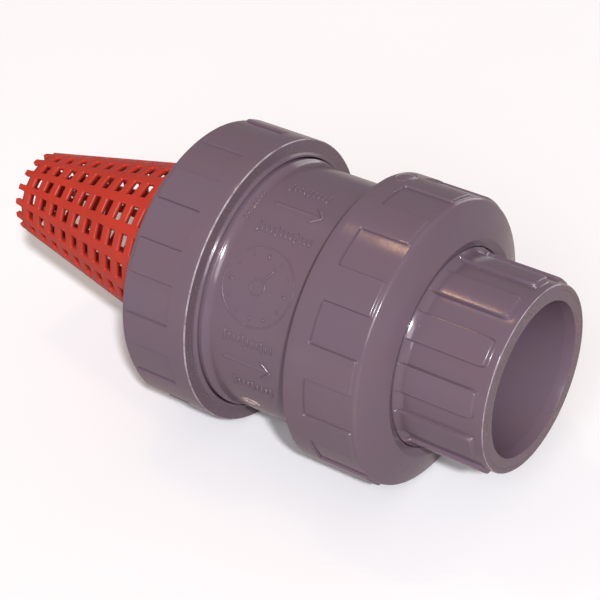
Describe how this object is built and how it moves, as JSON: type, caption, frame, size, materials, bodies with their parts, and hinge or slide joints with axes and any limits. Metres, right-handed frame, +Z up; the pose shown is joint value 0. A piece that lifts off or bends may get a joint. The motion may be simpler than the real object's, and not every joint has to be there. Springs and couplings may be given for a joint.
{
  "type": "foot valve",
  "caption": "Spring-loaded foot valve with union nuts, a solvent socket for a riser pipe and a conical net strainer.",
  "frame": {"origin": "on the surface the valve lies on, under the middle of its length", "axes": "+X along the flow towards the pipe socket, +Z up, the strainer towards -X"},
  "size_m": [0.2488, 0.1216, 0.1215],
  "materials": {
    "valve_body": "semi-gloss moulded PVC",
    "outlet_union_nut": "semi-gloss moulded PVC",
    "inlet_union_nut": "semi-gloss moulded PVC",
    "outlet_end_connector": "semi-gloss moulded PVC",
    "outlet_face_seal": "moulded EPDM",
    "seat_carrier": "semi-gloss moulded PVC",
    "seat_carrier_seal": "moulded EPDM",
    "strainer_gasket": "moulded EPDM",
    "strainer_basket": "satin extruded net",
    "poppet": "semi-gloss moulded PVC",
    "poppet_seal": "moulded EPDM",
    "seal_retainer": "turned stainless steel",
    "retainer_washer": "stainless steel",
    "retainer_screw": "stainless steel",
    "stem_guide": "satin moulded PVC",
    "guide_bush": "white acetal",
    "guide_retaining_ring": "stainless spring steel",
    "stem_clip": "stainless spring steel",
    "spring_cup": "pressed stainless steel",
    "closing_spring": "stainless spring wire"
  },
  "bodies": {
    "valve_body": {"valve_body": "valve_body", "seat_carrier": "seat_carrier", "seat_carrier_seal": "seat_carrier_seal", "stem_guide": "stem_guide", "guide_bush": "guide_bush", "guide_retaining_ring": "guide_retaining_ring", "closing_spring": "closing_spring"},
    "poppet": {"poppet": "poppet", "poppet_seal": "poppet_seal", "seal_retainer": "seal_retainer", "retainer_washer": "retainer_washer", "retainer_screw": "retainer_screw", "stem_clip": "stem_clip", "spring_cup": "spring_cup"},
    "outlet_connector": {"outlet_end_connector": "outlet_end_connector", "outlet_face_seal": "outlet_face_seal"},
    "outlet_nut": {"outlet_union_nut": "outlet_union_nut"},
    "strainer": {"strainer_basket": "strainer_basket", "strainer_gasket": "strainer_gasket"},
    "inlet_nut": {"inlet_union_nut": "inlet_union_nut"}
  },
  "joints": [
    {"name": "poppet_lift", "type": "slide", "parent": "valve_body", "child": "poppet", "axis": [1, 0, 0], "range_m": [0, 0.014], "stiffness_N_per_m": 300, "springref_m": -0.013, "deforming": ["closing_spring"]},
    {"name": "outlet_connector_travel", "type": "slide", "parent": "valve_body", "child": "outlet_connector", "axis": [1, 0, 0], "range_m": [0, 0.018]},
    {"name": "outlet_nut_turn", "type": "hinge", "parent": "outlet_connector", "child": "outlet_nut", "pos_m": [0.06, 0, 0.06076], "axis": [1, 0, 0], "range_deg": [0, 1080]},
    {"name": "strainer_travel", "type": "slide", "parent": "valve_body", "child": "strainer", "axis": [-1, 0, 0], "range_m": [0, 0.018]},
    {"name": "inlet_nut_turn", "type": "hinge", "parent": "strainer", "child": "inlet_nut", "pos_m": [-0.02, 0, 0.06076], "axis": [-1, 0, 0], "range_deg": [0, 1080]}
  ],
  "couplings": [
    {"joint": "outlet_connector_travel", "follows": "outlet_nut_turn", "m_per_rad": 0.00095493},
    {"joint": "strainer_travel", "follows": "inlet_nut_turn", "m_per_rad": 0.00095493}
  ]
}
